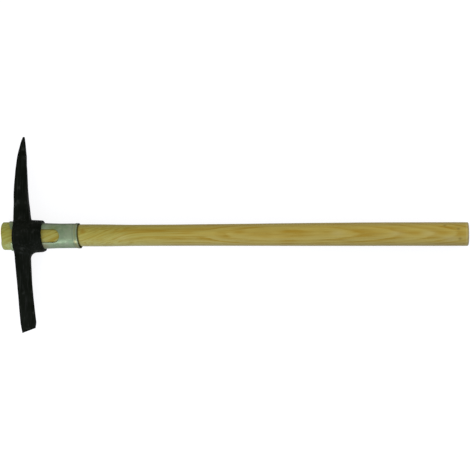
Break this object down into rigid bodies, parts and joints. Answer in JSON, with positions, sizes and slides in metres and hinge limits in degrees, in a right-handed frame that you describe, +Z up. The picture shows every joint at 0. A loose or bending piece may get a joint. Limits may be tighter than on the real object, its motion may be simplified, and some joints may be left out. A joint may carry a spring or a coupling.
{
  "type": "pick axe",
  "caption": "Slip-on pick axe: black forged head with a pointed arm and a narrow cutter arm, slotted sheet steel eye sleeve and a long turned ash handle.",
  "frame": {"origin": "middle of the tool's box, on the surface that the tool lies on", "axes": "+X along the handle towards the butt end, +Y towards the pointed arm, +Z up from the surface that the tool lies on"},
  "size_m": [0.9, 0.383, 0.0677],
  "materials": {
    "painted_forging": "matte black paint over a hammered forging",
    "galvanised_sheet": "dull galvanised sheet steel",
    "ash_wood": "turned and lightly varnished ash"
  },
  "bodies": {
    "root": {"pick_head": "painted_forging", "eye_sleeve": "galvanised_sheet", "handle": "ash_wood"}
  },
  "joints": []
}
